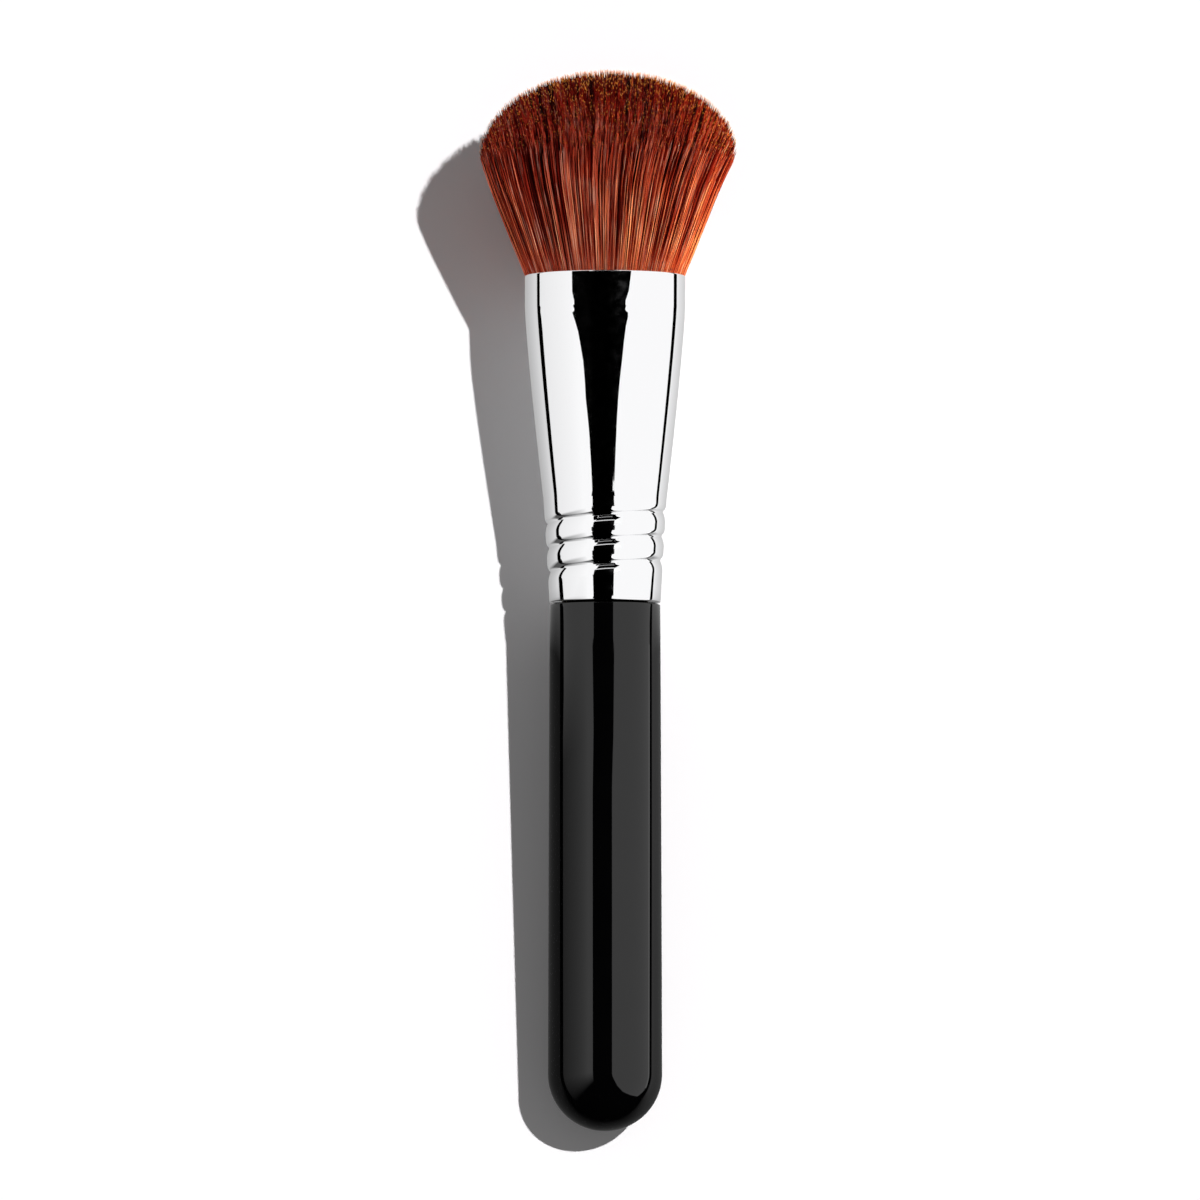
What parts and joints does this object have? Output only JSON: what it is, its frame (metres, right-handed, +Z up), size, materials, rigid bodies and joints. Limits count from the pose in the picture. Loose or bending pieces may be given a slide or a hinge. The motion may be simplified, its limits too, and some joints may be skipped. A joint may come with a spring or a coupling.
{
  "type": "makeup brush",
  "caption": "Lying powder brush: a domed, flared tuft of auburn hair in a crimped chrome ferrule on a short round black handle.",
  "frame": {"origin": "under the middle of the bounding box, on the surface that the brush lies on", "axes": "+Y from the handle's round end towards the hair, along the surface; +Z up; +X to the right of a viewer who looks down with the hair at the top"},
  "size_m": [0.0364, 0.152, 0.0362],
  "materials": {
    "hair": "soft auburn hair with paler golden tips",
    "thread": "undyed waxed cotton",
    "resin": "cured amber epoxy",
    "ferrule": "polished plating",
    "glue": "cured pale glue",
    "handle": "high-gloss black lacquer on turned wood"
  },
  "bodies": {
    "root": {"bristle_tuft": "hair", "binding_thread": "thread", "epoxy_plug": "resin", "ferrule": "ferrule", "handle_adhesive": "glue", "handle": "handle"}
  },
  "joints": []
}
